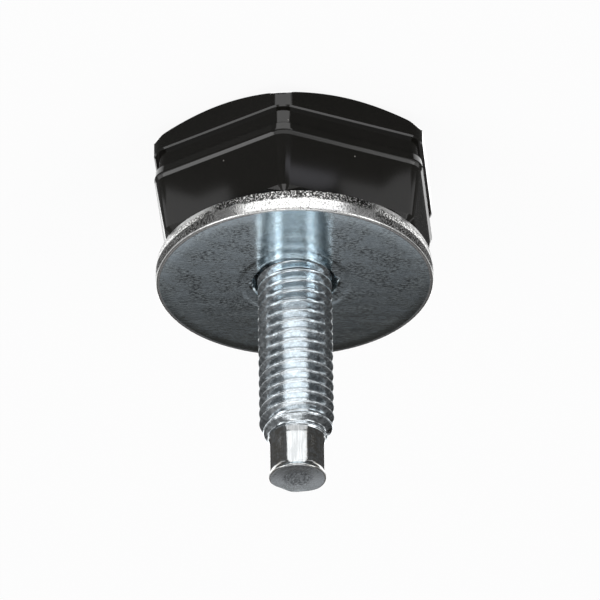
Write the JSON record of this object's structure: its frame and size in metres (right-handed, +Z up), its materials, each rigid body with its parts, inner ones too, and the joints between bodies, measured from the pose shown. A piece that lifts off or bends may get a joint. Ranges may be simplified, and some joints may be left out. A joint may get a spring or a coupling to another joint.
{
  "type": "appliance levelling leg",
  "caption": "Appliance levelling leg: a threaded steel stud with a dog point, moulded into a black hexagonal plastic foot, with a loose flat washer round the stud.",
  "frame": {"origin": "centre of the sole, on the surface the leg stands on", "axes": "+Z up the stud's axis towards its free end, two corners of the hexagon on the Y axis and two flats square to the X axis"},
  "size_m": [0.0294, 0.0322, 0.0393],
  "materials": {
    "black_plastic": "black moulded plastic, satin with brighter worn edges",
    "zinc_stud": "bright zinc plating on a rolled thread",
    "zinc_washer": "zinc plating over stamped sheet, with fine wavy scratches"
  },
  "bodies": {
    "leg": {"hex_foot": "black_plastic", "stud": "zinc_stud"},
    "washer": {"washer": "zinc_washer"}
  },
  "joints": [
    {"name": "washer_spin", "type": "hinge", "parent": "leg", "child": "washer", "pos_m": [0, 0, 0.01387], "axis": [0, 0, 1], "continuous": true}
  ]
}
